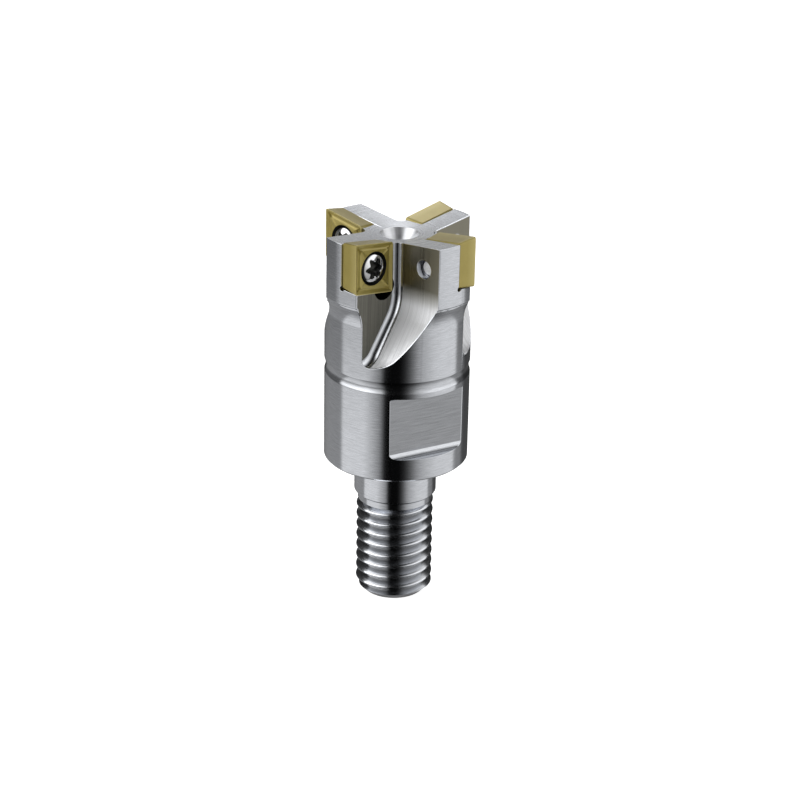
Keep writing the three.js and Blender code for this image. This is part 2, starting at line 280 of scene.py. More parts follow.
def helical_rod(bottom, top):
    """A closed rod whose radius follows the thread form, which climbs one pitch in each turn."""
    count = THREAD_ROWS
    form = [(i / count, thread_radius(i / count)) for i in range(count)]
    pitch = STUB["pitch"]
    turns = math.ceil((top - bottom) / pitch) + 1
    rows = turns * count + 1
    points = []
    for column in range(THREAD_FACETS):
        angle = 2 * math.pi * column / THREAD_FACETS
        for row in range(rows):
            share, radius = form[row % count]
            height = bottom + (row // count + share + column / THREAD_FACETS) * pitch
            points.append((radius * math.cos(angle), radius * math.sin(angle), height))
    faces = []
    # The last column joins the first one a pitch higher, so each end has a step at the seam.
    for column in range(THREAD_FACETS):
        wraps = column == THREAD_FACETS - 1
        following = 0 if wraps else column + 1
        lift = count if wraps else 0
        for row in range(rows - 1 - lift):
            a = column * rows + row
            b = following * rows + row + lift
            faces.append([a, b, b + 1, a + 1])
    low_rim = [column * rows for column in range(THREAD_FACETS)]
    low_rim += list(range(count, 0, -1))
    high_rim = [column * rows + rows - 1 for column in range(THREAD_FACETS)]
    last = (THREAD_FACETS - 1) * rows
    high_rim += [last + row for row in range(rows - 2, rows - 2 - count, -1)]
    for rim, height in ((low_rim, bottom + pitch / 2), (high_rim, bottom + (turns + 0.5) * pitch)):
        centre = len(points)
        points.append((0, 0, height))
        for i, vertex in enumerate(rim):
            faces.append([centre, vertex, rim[(i + 1) % len(rim)]])
    return mesh_of(points, faces)


def threaded_stub():
    """The metric thread, trimmed to its chamfered end."""
    pitch, radius, top = STUB["pitch"], STUB["radius"], STUB["top"]
    overlap = 0.1
    slope = STUB["tip_chamfer"] / (radius - STUB["tip_radius"])
    outline = turned([
        (0, 0),
        (STUB["tip_radius"], 0),
        (radius + overlap, STUB["tip_chamfer"] + overlap * slope),
        (radius + overlap, top + overlap),
        (0, top + overlap),
    ], THREAD_FACETS)
    return combined(helical_rod(-2 * pitch, top + pitch), [outline], "INTERSECT")


def groove_arc():
    """The shallow round groove above the wrench flats."""
    half = (GROOVE["top"] - GROOVE["bottom"]) / 2
    depth = GROOVE["depth"]
    radius = (half ** 2 + depth ** 2) / (2 * depth)
    angle = math.asin(half / radius)
    middle = (GROOVE["top"] + GROOVE["bottom"]) / 2
    return arc(BODY["radius"] - depth + radius, middle, radius, math.pi + angle, math.pi - angle)


def flare_arc():
    """The hollow flare from the body up to the head's underside."""
    step = FLARE["radius"] - BODY["radius"]
    rise = FLARE["top"] - BODY["top"]
    radius = (rise ** 2 + step ** 2) / (2 * step)
    return arc(BODY["radius"] + radius, BODY["top"], radius, math.pi, math.pi - math.asin(rise / radius))


def turned_head():
    """Everything above the thread that a lathe makes."""
    return turned([
        (0, STUB["top"]),
        (STUB["neck"], STUB["top"]),
        (STUB["neck"], PILOT["bottom"]),
        (PILOT["radius"] - PILOT["chamfer"], PILOT["bottom"]),
        (PILOT["radius"], PILOT["bottom"] + PILOT["chamfer"]),
        (PILOT["radius"], BODY["bottom"]),
        (BODY["radius"] - BODY["chamfer"], BODY["bottom"]),
        (BODY["radius"], BODY["bottom"] + BODY["chamfer"]),
        *groove_arc(),
        *flare_arc(),
        (FLARE["radius"], HEAD["bottom"]),
        (HEAD["radius"] - HEAD["chamfer"], HEAD["bottom"]),
        (HEAD["radius"], HEAD["bottom"] + HEAD["chamfer"]),
        (HEAD["radius"], HEAD["rim_top"]),
        (CENTRE_TOP["radius"], HUB_TOP),
        (0, HUB_TOP),
    ], TURNED_FACETS)


def centre_hole(hole, mouth, into):
    """A centre-drilled hole from its mouth's height; into is -1 where it runs down and 1 where up."""
    cone = (hole["radius"] - hole["drill"]) / math.tan(math.radians(CENTRE_CONE / 2))
    profile = [
        (0, hole["depth"]),
        (hole["drill"], hole["depth"] - hole["drill"] / 2),
        (hole["drill"], cone),
        (hole["radius"], 0),
        (hole["radius"], -OUTSIDE),
        (0, -OUTSIDE),
    ]
    return turned([(radius, mouth + into * depth) for radius, depth in profile], ROUND_FACETS)


def flat_cut(side):
    """The metal outside one wrench flat, milled straight across with rounded inner corners."""
    face, reach = FLATS["across"] / 2, FLATS["across"] / 2 + OUTSIDE
    low, high = FLATS["fillet"], FLATS["top_fillet"]
    section = [
        (reach, FLATS["top"]),
        *arc(face + high, FLATS["top"] - high, high, math.pi / 2, math.pi),
        *arc(face + low, FLATS["bottom"] + low, low, math.pi, 1.5 * math.pi),
        (reach, FLATS["bottom"]),
    ]
    half = BODY["radius"]
    cut = lofted([[(radius, tangent, z) for radius, z in section] for tangent in (-half, half)])
    return turned_by(cut, math.radians(FLATS["azimuth"]) + side)


def flute_cut():
    """The chip flute ahead of one arm."""
    lean = math.radians(FLUTE["slope"])
    upper, lower = FLUTE_BEND["upper"], FLUTE_BEND["lower"]
    outer = HEAD["radius"] + 2 * OUTSIDE
    ceiling = HEAD["rim_top"] + 2 * OUTSIDE
    tip_u = FLUTE["back"] + (FLUTE["bend_z"] - FLUTE["tip_z"]) * math.tan(lean)
    lower_u = tip_u + lower * math.tan((math.pi / 2 - lean) / 2)
    upper_z = FLUTE["bend_z"] + upper * math.tan(lean / 2)
    outline = [
        (outer, FLUTE["tip_z"]),
        (outer, ceiling),
        (FLUTE["back"], ceiling),
        *arc(FLUTE["back"] + upper, upper_z, upper, math.pi, math.pi + lean),
        *arc(lower_u, FLUTE["tip_z"] + lower, lower, math.pi + lean, 1.5 * math.pi),
    ]
    return along_lead(outline, FLUTE["wall"], outer, FLUTE["fillet"])


def pocket_cut():
    """One pocket: a seat with two walls that lean as the insert's flanks do."""
    depth = INSERT["thickness"] + OUTSIDE
    run = 2 * HALF_WIDTH + OUTSIDE

    def outline(outset, w):
        u = INSERT_U - HALF_WIDTH - outset
        z = INSERT_Z - TOP_HALF - outset * CORNER_FALL
        top = INSERT["top_z"] + OUTSIDE
        return [(u, w, z), (u + run, w, z + run * math.tan(EDGE_TILT)), (u + run, w, top), (u, w, top)]

    outset = POCKET["gap"] + OUTSIDE * FLANK_RUN
    base = outset - (depth + POCKET["gap"]) * FLANK_RUN
    return lofted([outline(base, POCKET["seat"] - POCKET["gap"]), outline(outset, POCKET["seat"] + depth)])


def pocket_undercut():
    """The groove along the foot of the pocket's lower wall."""
    outset = POCKET["gap"] - INSERT["thickness"] * FLANK_RUN
    reach = 2 * HALF_WIDTH + 2 * OUTSIDE
    circle = arc(0, 0, POCKET["undercut"], 0, 2 * math.pi, ROUND_FACETS // 3)[:-1]
    groove = lofted([[(end, across, up) for across, up in circle] for end in (0, reach)])
    groove.transform(Matrix.Rotation(-EDGE_TILT, 4, "Y"))
    corner = (INSERT_U - HALF_WIDTH - outset, POCKET["seat"], INSERT_Z - TOP_HALF - outset * CORNER_FALL)
    groove.transform(Matrix.Translation(corner))
    return groove


def pocket_holes():
    """The relief hole under the insert's inner corner, and the bore for the screw."""
    relief = cylinder_along_lead(
        RELIEF_U, RELIEF_Z, RELIEF["radius"], FLUTE["wall"] - RELIEF["depth"], FLUTE["wall"] + OUTSIDE,
    )
    bore = cylinder_along_lead(
        INSERT_U, INSERT_Z, SCREW["bore"], -FLUTE["back"] - OUTSIDE, POCKET["seat"] + OUTSIDE,
    )
    return [relief, bore]


def body_shape():
    """The body as the machines leave it, before its edges are broken."""
    mesh = combined(turned_head(), [threaded_stub()], "UNION")
    cuts = [centre_hole(CENTRE_TOP, HUB_TOP, -1), centre_hole(CENTRE_STUB, 0, 1)]
    cuts += [flat_cut(side) for side in (0, math.pi)]
    arm_cuts = [flute_cut(), pocket_cut(), pocket_undercut(), *pocket_holes()]
    for arm in range(ARMS):
        cuts += [turned_by(cut, arm_azimuth(arm)) for cut in arm_cuts]
    return combined(mesh, cuts, "DIFFERENCE")


def break_edges(work):
    """Chamfers the sharp outer edges of the milled head and the wrench flats."""
    broken = {"face", "turned", "floor", "fillet", "wall", "flat", "ground"}

    def surface(face):
        return surface_of(face.calc_center_median(), face.normal)[0]

    def sharp(edge):
        if len(edge.link_faces) != 2 or not edge.is_convex:
            return False
        return edge.calc_face_angle() > math.radians(SHARP_EDGE)

    def milled(edge):
        high = all(vertex.co.z > MILLED_ABOVE for vertex in edge.verts)
        return high and all(surface(face) in broken for face in edge.link_faces)

    edges = [edge for edge in work.edges if sharp(edge) and milled(edge)]
    bmesh.ops.bevel(
        work, geom=edges, offset=EDGE_BREAK, offset_type="OFFSET", segments=2, profile=0.6,
        affect="EDGES", clamp_overlap=False, material=-1,
    )


# ---- Camera, floor and light ----

CAMERA = dict(azimuth=44.2, elevation=22.92, roll=1.05, distance=317.0, lens=94.67)
LOOK_AT = (0.38, 0.37, 31.24)  # the point that the camera faces
FLOOR_REACH = 6.0  # metres


def add_camera():
    azimuth, elevation = math.radians(CAMERA["azimuth"]), math.radians(CAMERA["elevation"])
    back = Vector((
        math.sin(azimuth) * math.cos(elevation),
        -math.cos(azimuth) * math.cos(elevation),
        math.sin(elevation),
    ))
    data = bpy.data.cameras.new("camera")
    data.lens = CAMERA["lens"]
    data.clip_start = 0.01
    camera = bpy.data.objects.new("camera", data)
    bpy.context.scene.collection.objects.link(camera)
    roll = Matrix.Rotation(math.radians(CAMERA["roll"]), 3, "Z").to_quaternion()
    turn = back.to_track_quat("Z", "Y") @ roll
    camera.rotation_euler = turn.to_euler()
    camera.location = (Vector(LOOK_AT) + back * CAMERA["distance"]) * MM
    bpy.context.scene.camera = camera


def add_floor():
    """A plain pale floor, which the polished metal doesn't mirror."""
    mesh = bpy.data.meshes.new("floor")
    signs = [(-1, -1), (1, -1), (1, 1), (-1, 1)]
    mesh.from_pydata([(x * FLOOR_REACH, y * FLOOR_REACH, 0) for x, y in signs], [], [(0, 1, 2, 3)])
    floor = bpy.data.objects.new("floor", mesh)
    bpy.context.scene.collection.objects.link(floor)
    material, _, shader = new_material("floor_white")
    shader.inputs["Base Color"].default_value = (0.9, 0.9, 0.9, 1)
    shader.inputs["Roughness"].default_value = 0.9
    shader.inputs["Specular IOR Level"].default_value = 0.0
    shader.inputs["Emission Color"].default_value = (1, 1, 1, 1)
    shader.inputs["Emission Strength"].default_value = 0.85
    mesh.materials.append(material)
    floor.visible_glossy = False


# The studio as ramps along three axes: towards the camera, to its right, and up. Each stop is
# (component of the direction, level), and the ramps of one light are multiplied. Tall panels stand
# left and right of a dark gap on the camera's side. Behind the tool it is dim below, and above it
# there is a lit strip behind the middle.
LEFT_BY_RIGHT = [
    (-1, 0.95), (-0.72, 0.95), (-0.60, 0.72), (-0.50, 0.55), (-0.40, 0.38), (-0.33, 0.14),
    (-0.28, 0.006), (-0.2, 0.0), (1, 0.0),
]
LEFT_BY_UP = [
    (-1, 0.15), (-0.8, 0.5), (-0.62, 0.75), (-0.47, 0.85), (-0.40, 0.92), (-0.365, 0.62), (-0.33, 0.44),
    (-0.28, 0.42), (-0.1, 1.2), (0.3, 2.2), (0.7, 2.2), (0.97, 1.3), (1, 0.5),
]
RIGHT_BY_RIGHT = [
    (-1, 0.0), (0.12, 0.003), (0.23, 0.02), (0.33, 0.08), (0.43, 0.20), (0.50, 0.33), (0.60, 0.48),
    (0.73, 0.62), (0.83, 0.74), (0.93, 0.80), (1, 0.80),
]
RIGHT_BY_UP = [
    (-1, 0.15), (-0.8, 0.5), (-0.62, 0.8), (-0.47, 1.0), (-0.40, 1.0), (-0.2, 1.0), (0.0, 1.35),
    (0.7, 1.8), (1, 0.6),
]
PANELS_BY_NEAR = [(-1, 0), (-0.22, 0), (-0.13, 1), (1, 1)]
PANELS_SKEW = 0.087  # how far the panels' far edges turn to the right
PANELS_REACH_BY_UP = [(-1, 0), (0.1, 0), (1, 0.4)]  # how much further back the panels reach overhead
BACK_LOW_BY_NEAR = [(-1, 0.06), (-0.82, 0.07), (-0.74, 0.22), (-0.45, 0.28), (1, 0.30)]
BACK_LOW_BY_UP = [
    (-1, 0.8), (-0.42, 1.15), (-0.38, 1.05), (-0.35, 0.85), (-0.32, 0.5), (-0.2, 0.4), (1, 0.4),
]
BACK_SKEW = -0.278  # how far the dim back turns towards the right
BACK_HIGH_BY_RIGHT = [(-1, 0.14), (-0.40, 0.05), (-0.26, 1.0), (0.26, 1.0), (0.40, 0.05), (1, 0.14)]
BACK_HIGH_BY_UP = [
    (-1, 0.3), (0.0, 0.34), (0.17, 0.40), (0.30, 0.44), (0.57, 0.42), (0.65, 3.2), (0.72, 3.2), (0.8, 0.9),
    (1, 0.9),
]
HIGH_SHARE_BY_UP = [(-1, 0), (-0.05, 0), (0.1, 1), (1, 1)]  # where the back changes from low to high


def fill_ramp(ramp, stops):
    """Sets a colour ramp's grey stops, in (place, level) pairs."""
    while len(ramp.elements) > 1:
        ramp.elements.remove(ramp.elements[-1])
    first, *others = stops
    ramp.elements[0].position = first[0]
    ramp.elements[0].color = (first[1], first[1], first[1], 1)
    for place, level in others:
        element = ramp.elements.new(place)
        element.color = (level, level, level, 1)


def add_studio():
    """World light: a procedural photo studio that stays put round the tool."""
    world = bpy.data.worlds.new("studio")
    bpy.context.scene.world = world
    world.use_nodes = True
    nodes, links = world.node_tree.nodes, world.node_tree.links
    nodes.clear()

    def math_node(operation, first, second):
        node = nodes.new("ShaderNodeMath")
        node.operation = operation
        for socket, value in zip(node.inputs, (first, second)):
            if isinstance(value, float):
                socket.default_value = value
            else:
                links.new(value, socket)
        return node.outputs["Value"]

    def ramp_along(component, stops):
        share = nodes.new("ShaderNodeMapRange")
        share.inputs["From Min"].default_value = -1.0
        links.new(component, share.inputs["Value"])
        ramp = nodes.new("ShaderNodeValToRGB")
        fill_ramp(ramp.color_ramp, [((place + 1) / 2, level) for place, level in stops])
        links.new(share.outputs["Result"], ramp.inputs["Fac"])
        return ramp.outputs["Color"]

    def blend(factor, low, high):
        kept = math_node("MULTIPLY", low, math_node("SUBTRACT", 1.0, factor))
        return math_node("ADD", kept, math_node("MULTIPLY", high, factor))

    coordinates = nodes.new("ShaderNodeTexCoord")
    turn = nodes.new("ShaderNodeVectorRotate")
    turn.rotation_type = "Z_AXIS"
    turn.inputs["Angle"].default_value = math.radians(90 - CAMERA["azimuth"])
    links.new(coordinates.outputs["Generated"], turn.inputs["Vector"])
    parts = nodes.new("ShaderNodeSeparateXYZ")
    links.new(turn.outputs["Vector"], parts.inputs["Vector"])
    near, right, up = (parts.outputs[axis] for axis in "XYZ")
    left_panel = math_node("MULTIPLY", ramp_along(right, LEFT_BY_RIGHT), ramp_along(up, LEFT_BY_UP))
    right_panel = math_node("MULTIPLY", ramp_along(right, RIGHT_BY_RIGHT), ramp_along(up, RIGHT_BY_UP))
    panels = math_node("ADD", left_panel, right_panel)
    skewed = math_node("ADD", near, math_node("MULTIPLY", right, BACK_SKEW))
    edges = math_node("ADD", near, math_node("MULTIPLY", right, PANELS_SKEW))
    edges = math_node("ADD", edges, ramp_along(up, PANELS_REACH_BY_UP))
    above = ramp_along(up, HIGH_SHARE_BY_UP)
    high = math_node("MULTIPLY", ramp_along(right, BACK_HIGH_BY_RIGHT), ramp_along(up, BACK_HIGH_BY_UP))
    low = math_node("MULTIPLY", ramp_along(skewed, BACK_LOW_BY_NEAR), ramp_along(up, BACK_LOW_BY_UP))
    back = blend(above, low, high)
    level = blend(ramp_along(edges, PANELS_BY_NEAR), back, panels)
    background = nodes.new("ShaderNodeBackground")
    background.inputs["Color"].default_value = (1.0, 1.0, 1.0, 1)
    links.new(level, background.inputs["Strength"])
    output = nodes.new("ShaderNodeOutputWorld")
    links.new(background.outputs["Background"], output.inputs["Surface"])


# ---- Material nodes ----

def new_material(name):
    """A material with nodes, its node tree and its main shader."""
    material = bpy.data.materials.new(name)
    material.use_nodes = True
    return material, material.node_tree, material.node_tree.nodes["Principled BSDF"]


def attribute(tree, name):
    """The value that the mesh has under a name, or 0 where it has none."""
    node = tree.nodes.new("ShaderNodeAttribute")
    node.attribute_name = name
    return node.outputs["Fac"]


def noise(tree, place, scale, detail, roughness=0.5):
    node = tree.nodes.new("ShaderNodeTexNoise")
    node.inputs["Scale"].default_value = scale
    node.inputs["Detail"].default_value = detail
    node.inputs["Roughness"].default_value = roughness
    tree.links.new(place, node.inputs["Vector"])
    return node.outputs["Fac"]


def remapped(tree, value, before=(0.0, 1.0), after=(0.0, 1.0)):
    """A value carried from one range to another, and held inside it."""
    node = tree.nodes.new("ShaderNodeMapRange")
    node.inputs["From Min"].default_value = before[0]
    node.inputs["From Max"].default_value = before[1]
    node.inputs["To Min"].default_value = after[0]
    node.inputs["To Max"].default_value = after[1]
    tree.links.new(value, node.inputs["Value"])
    return node.outputs["Result"]


def mixed(tree, share, low, high):
    """A colour between two others, each of them given as a colour or as another node's output."""
    node = tree.nodes.new("ShaderNodeMix")
    node.data_type = "RGBA"
    tree.links.new(share, node.inputs["Factor"])
    for socket, colour in ((node.inputs[6], low), (node.inputs[7], high)):
        if isinstance(colour, tuple):
            socket.default_value = (*colour, 1)
        else:
            tree.links.new(colour, socket)
    return node.outputs[2]


def bumped(tree, height, strength, depth):
    """A normal that follows a height, whose full range stands for a depth in millimetres."""
    node = tree.nodes.new("ShaderNodeBump")
    node.inputs["Strength"].default_value = strength
    node.inputs["Distance"].default_value = depth * MM
    tree.links.new(height, node.inputs["Height"])
    return node.outputs["Normal"]


# ---- Materials ----

STEEL = (0.80, 0.82, 0.86)
BRUSHED = (0.90, 0.91, 0.93)
# painted shade: the flute wall's dark base colour, for the shade in its recess
SHADED_WALL = (0.19, 0.185, 0.155)
# painted shade: the brownish dark that the flute's back takes on high up
FLUTE_BACK_SHADE = (0.28, 0.265, 0.21)
MILLED = (0.46, 0.47, 0.49)
# painted shadow: near-black for the relief holes and the inserts' bores, which lie in shade
SHADOW_BLACK = (0.03, 0.03, 0.028)
# painted shade: the dark colour that the thread's roots move towards
ROOT_SHADE_COLOUR = (0.035, 0.032, 0.022)
POLISHED = (0.86, 0.86, 0.87)
# painted shadow: the dark colour of the screw socket's floor
SOCKET_SHADOW = (0.06, 0.06, 0.055)
GOLD = dict(dark=(0.31, 0.245, 0.048), light=(0.38, 0.305, 0.072), worn=(0.58, 0.50, 0.20))
EDGE_WEAR = 0.45  # how far the coating moves towards its worn colour along the cutting edges

STREAKS = dict(detail=4.0, roughness=0.65, depth=0.02)
NOISE_RANGE = (0.3, 0.7)  # nearly all of a noise's values lie in it
ROUGHNESS_SPREAD = (1.25, 0.8)  # a finish's roughness at the noise's low and high ends


def streaks(tree, across, along):
    """Noise that changes quickly across the mesh's grain and slowly along it, as machining marks do."""
    slow = tree.nodes.new("ShaderNodeVectorMath")
    slow.operation = "SCALE"
    slow.inputs["Scale"].default_value = along / MM
    tree.links.new(tree.nodes.new("ShaderNodeTexCoord").outputs["Object"], slow.inputs[0])
    quick = tree.nodes.new("ShaderNodeMath")
    quick.operation = "MULTIPLY"
    quick.inputs[1].default_value = across
    tree.links.new(attribute(tree, "grain"), quick.inputs[0])
    lift = tree.nodes.new("ShaderNodeCombineXYZ")
    tree.links.new(quick.outputs["Value"], lift.inputs["Z"])
    place = tree.nodes.new("ShaderNodeVectorMath")
    tree.links.new(slow.outputs["Vector"], place.inputs[0])
    tree.links.new(lift.outputs["Vector"], place.inputs[1])
    return noise(tree, place.outputs["Vector"], 1.0, STREAKS["detail"], STREAKS["roughness"])


def steel(
    name, colour, roughness, streak=0.0, across=3.0, along=0.12, bump=0.0, metallic=1.0, shade_colour=ROOT_SHADE_COLOUR,
):
    """Steel with machining streaks, which run where the mesh's grain value is constant.

    Where the mesh has a painted-shade value, the colour moves towards the given shade colour, which is all
    metal: this is painted shade.
    """
    material, tree, shader = new_material(name)
    marks = streaks(tree, across, along)
    # painted shade: the mesh's value darkens the colour towards the shade colour
    painted_shade = attribute(tree, "painted_shade")
    shader.inputs["Metallic"].default_value = metallic
    if metallic < 1:
        tree.links.new(remapped(tree, painted_shade, after=(metallic, 1.0)), shader.inputs["Metallic"])
    tint = remapped(tree, marks, NOISE_RANGE, (1 - streak, 1.0))
    shade = mixed(tree, tint, (0, 0, 0), colour)
    tree.links.new(mixed(tree, painted_shade, shade, shade_colour), shader.inputs["Base Color"])
    spread = [roughness * share for share in ROUGHNESS_SPREAD]
    tree.links.new(remapped(tree, marks, NOISE_RANGE, spread), shader.inputs["Roughness"])
    if bump:
        tree.links.new(bumped(tree, marks, bump, STREAKS["depth"]), shader.inputs["Normal"])
    return material


def body_materials():
    """The body's finishes, by the name of the machined surface."""
    return {
        "turned": steel("turned_steel", STEEL, 0.13, streak=0.28, across=15.0, along=0.7, bump=0.10),
        # its roots darken towards the default shade colour: painted shade
        "thread": steel("rolled_thread", STEEL, 0.17, streak=0.20, across=6.0, along=0.5, bump=0.12),
        "face": steel("faced_steel", STEEL, 0.24, streak=0.12, across=7.0, along=0.05, bump=0.15),
        "cone": steel("drilled_cone", BRUSHED, 0.36, streak=0.2, across=7.0, along=0.05, metallic=0.85),
        # high on the flute's back the floor darkens: painted shade in the recess
        "floor": steel(
            "milled_floor", BRUSHED, 0.32, streak=0.30, across=5.0, along=0.12, bump=0.3,
            metallic=0.25, shade_colour=FLUTE_BACK_SHADE,
        ),
        "fillet": steel("burnished_fillet", STEEL, 0.20, streak=0.15, across=5.0, along=0.1, bump=0.1),
        # the wall's dark colour is painted shade in the flute's recess
        "wall": steel(
            "milled_wall", SHADED_WALL, 0.42, streak=0.35, across=5.0, along=0.15, bump=0.3, metallic=0.6,
        ),
        "flat": steel("milled_flat", MILLED, 0.24, streak=0.24, across=6.0, along=0.3, bump=0.10),
        "ground": steel("ground_steel", STEEL, 0.20, streak=0.08, across=6.0, along=0.30, bump=0.15),
        # the relief holes are painted near-black: painted shadow under the inserts
        "recess": steel("shadowed_recess", SHADOW_BLACK, 0.5, streak=0.2),
    }


# ---- Cutter body: finish ----

FLAT_NORMALS = [
    Vector((math.cos(angle), math.sin(angle), 0))
    for angle in (math.radians(FLATS["azimuth"]), math.radians(FLATS["azimuth"]) + math.pi)
]
# What tells the machined surfaces apart: cosines between a face and a direction, and distances.
PARALLEL = 0.995  # the same direction
NEARLY_LEVEL = 0.98  # the dished cutting end, which looks almost straight up
FACING = 0.9  # within about 26 degrees
CONE_LEAN = 0.4  # the centre hole's cone and foot, but not its straight wall
ACROSS = 0.05  # at right angles, or turned away
MARGIN = 0.01  # how far from its surface a face's centre may lie
RIM_BAND = 0.3  # how far inside the body's radius its turned surfaces may lie
BELOW_FLUTES = FLUTE["tip_z"] - 0.1

ROOT_SHADING = 0.7  # how far painted shade darkens the thread's root
ROOT_SHADING_POWER = 1.6  # above 1 keeps the painted shade off the thread's flanks
UNSHADED_BELOW, SHADED_ABOVE = 49.0, 52.0  # heights between which painted shade darkens the flute's back
MERGE = dict(milled=0.045, anywhere=0.006, sliver=0.008)  # distances at which points become one


def in_relief_hole(centre):
    """Whether a point lies on one of the relief holes under the inserts' inner corners."""
    for arm in range(ARMS):
        place = Matrix.Rotation(-arm_azimuth(arm), 3, "Z") @ centre
        off_axis = math.hypot(place.x - RELIEF_U, place.z - RELIEF_Z)
        inside = off_axis < RELIEF["radius"] + 2 * MARGIN and 0 <= place.y < FLUTE["wall"] - EDGE_BREAK
        on_wall = off_axis > RELIEF["radius"] - 2 * MARGIN
        below_seat = place.y < POCKET["seat"] - POCKET["gap"] - MARGIN
        if inside and (on_wall or below_seat):
            return True
    return False


def surface_of(centre, normal):
    """The machined surface that a face belongs to, and the direction in which its grain value grows."""
    radius = math.hypot(centre.x, centre.y)
    up = Vector((0, 0, 1))
    outwards = Vector((centre.x, centre.y, 0)).normalized()
    if centre.z < STUB["top"]:
        return "thread", up
    on_flat = any(
        normal.dot(flat) > PARALLEL and abs(centre.dot(flat) - FLATS["across"] / 2) < MARGIN
        for flat in FLAT_NORMALS
    )
    if on_flat:
        return "flat", up
    if centre.z < BELOW_FLUTES:
        return "turned", up if abs(normal.z) < FACING else outwards
    arm = math.floor(math.atan2(centre.y, centre.x) / (math.pi / 2)) % ARMS
    radial = Vector((math.cos(arm_azimuth(arm)), math.sin(arm_azimuth(arm)), 0))
    lead = Vector((-radial.y, radial.x, 0))
    in_flute = centre.dot(radial) > FLUTE["back"] - MARGIN and centre.dot(lead) > FLUTE["wall"] - MARGIN
    if in_flute and radius < HEAD["radius"] - MARGIN:
        if normal.dot(outwards) > PARALLEL and radius > BODY["radius"] - MARGIN:
            return "turned", up
        if normal.dot(lead) > PARALLEL:
            return "wall", radial
        return "floor" if normal.dot(lead) < ACROSS else "fillet", lead
    if normal.z > NEARLY_LEVEL and centre.z > HUB_TOP - MARGIN:
        return "face", outwards
    if normal.z > CONE_LEAN and radius < CENTRE_TOP["radius"]:
        return "cone", up
    if in_relief_hole(centre):
        return "recess", up
    if normal.dot(outwards) > FACING and radius > BODY["radius"] - RIM_BAND:
        return "turned", up
    return "ground", up


def painted_shade_at(surface, place):
    """How far painted shade darkens a surface's colour: in the thread's root, and high on the flute's
    back.
    """
    if surface == "thread":
        share = (STUB["radius"] - math.hypot(place.x, place.y)) / (THREAD["depth"] * STUB["pitch"])
        return ROOT_SHADING * min(max(share, 0.0), 1.0) ** ROOT_SHADING_POWER
    if surface == "floor":
        return min(max((place.z - UNSHADED_BELOW) / (SHADED_ABOVE - UNSHADED_BELOW), 0.0), 1.0)
    return 0.0


def merge_close_points(work):
    """Removes the tiny edges that the cuts leave, which chamfers and shading can't use."""
    milled = [vertex for vertex in work.verts if vertex.co.z > MILLED_ABOVE]
    bmesh.ops.remove_doubles(work, verts=milled, dist=MERGE["milled"])
    bmesh.ops.remove_doubles(work, verts=work.verts, dist=MERGE["anywhere"])
    bmesh.ops.dissolve_degenerate(work, dist=MERGE["sliver"], edges=work.edges)


def split_at_height(work, height):
    """Cuts the faces that cross a height, so that a finish can change there."""
    everything = [*work.verts, *work.edges, *work.faces]
    bmesh.ops.bisect_plane(work, geom=everything, plane_co=(0, 0, height), plane_no=(0, 0, 1))


def body_piece():
    """The body with its chamfers and finishes."""
    mesh = body_shape()
    materials = body_materials()
    names = list(materials)
    work = bmesh.new()
    work.from_mesh(mesh)
    merge_close_points(work)
    split_at_height(work, SHADED_ABOVE)
    break_edges(work)
    work.normal_update()
    grain = work.loops.layers.float.new("grain")
    # painted shade, which darkens the thread's roots and the flute's back high up
    painted_shade = work.loops.layers.float.new("painted_shade")
    for face in work.faces:
        surface, direction = surface_of(face.calc_center_median(), face.normal)
        face.material_index = names.index(surface)
        in_rings = surface == "face"
        for loop in face.loops:
            place = loop.vert.co
            loop[grain] = math.hypot(place.x, place.y) if in_rings else place.dot(direction)
            loop[painted_shade] = painted_shade_at(surface, place)
    smooth_with_creases(work, SHARP_EDGE)
    mesh.materials.clear()
    for name in names:
        mesh.materials.append(materials[name])
    work.to_mesh(mesh)
    work.free()
    finished_piece("steel_body", evenly_shaded(mesh), "cutter_body")


# ---- Inserts ----

# The rake face: insets from its outline to the end of the land, the foot of the groove and the top
# of its far wall, the width of the groove's floor, the depths of groove and plateau, and the hone.
RAKE = dict(land=0.14, groove=0.62, wall=1.02, floor=0.08, fall=0.24, rise=0.08, hone=0.04)
HONE_MIDDLE = dict(inset=0.4, depth=0.3)  # where the hone's round passes, as shares of the hone
NOSE = dict(radius=0.43, shrink=0.6, least=0.05)  # the nose shrinks by a share of the inset
CORNER_RIB = dict(start=0.75, length=1.9, width=0.5, tip=0.01, height=0.2)
BASE_EDGE = dict(height=0.08, scale=0.985)
HOLE_EDGE = dict(width=0.06, depth=0.05)
RHOMBUS = [
    (HALF_WIDTH, TOP_HALF), (-HALF_WIDTH, LOW_HALF), (-HALF_WIDTH, -TOP_HALF), (HALF_WIDTH, -LOW_HALF),
]
OUTLINE_STEPS = 14
GROOVE_STEPS = 5
HONED_ROWS = range(4, 8)  # rows of the insert's points, from the hole's foot outwards, on the honed edge
BORE_BANDS = 3  # bands of its faces inside the hole
INSERT_CREASE, SCREW_CREASE = 16, 32  # the least angles that stay sharp when they are shaded


def rounded_rhombus(inward):
    """The insert's outline at the rake face, moved inwards, with its corners kept round."""
    corners = [Vector(corner) for corner in inset(RHOMBUS, inward)]
    nose = max(NOSE["radius"] - inward * NOSE["shrink"], NOSE["least"])
    points = []
    for i, corner in enumerate(corners):
        following = corners[(i + 1) % len(corners)]
        before = (corners[i - 1] - corner).normalized() * nose
        after = (following - corner).normalized() * nose
        for step in range(OUTLINE_STEPS + 1):
            t = step / OUTLINE_STEPS
            point = corner + before * (1 - t) ** 2 + after * t ** 2
            points.append((point.x, point.y))
        start, end = corner + after, following - after
        for step in range(1, 2 * OUTLINE_STEPS):
            point = start.lerp(end, step / (2 * OUTLINE_STEPS))
            points.append((point.x, point.y))
    return points


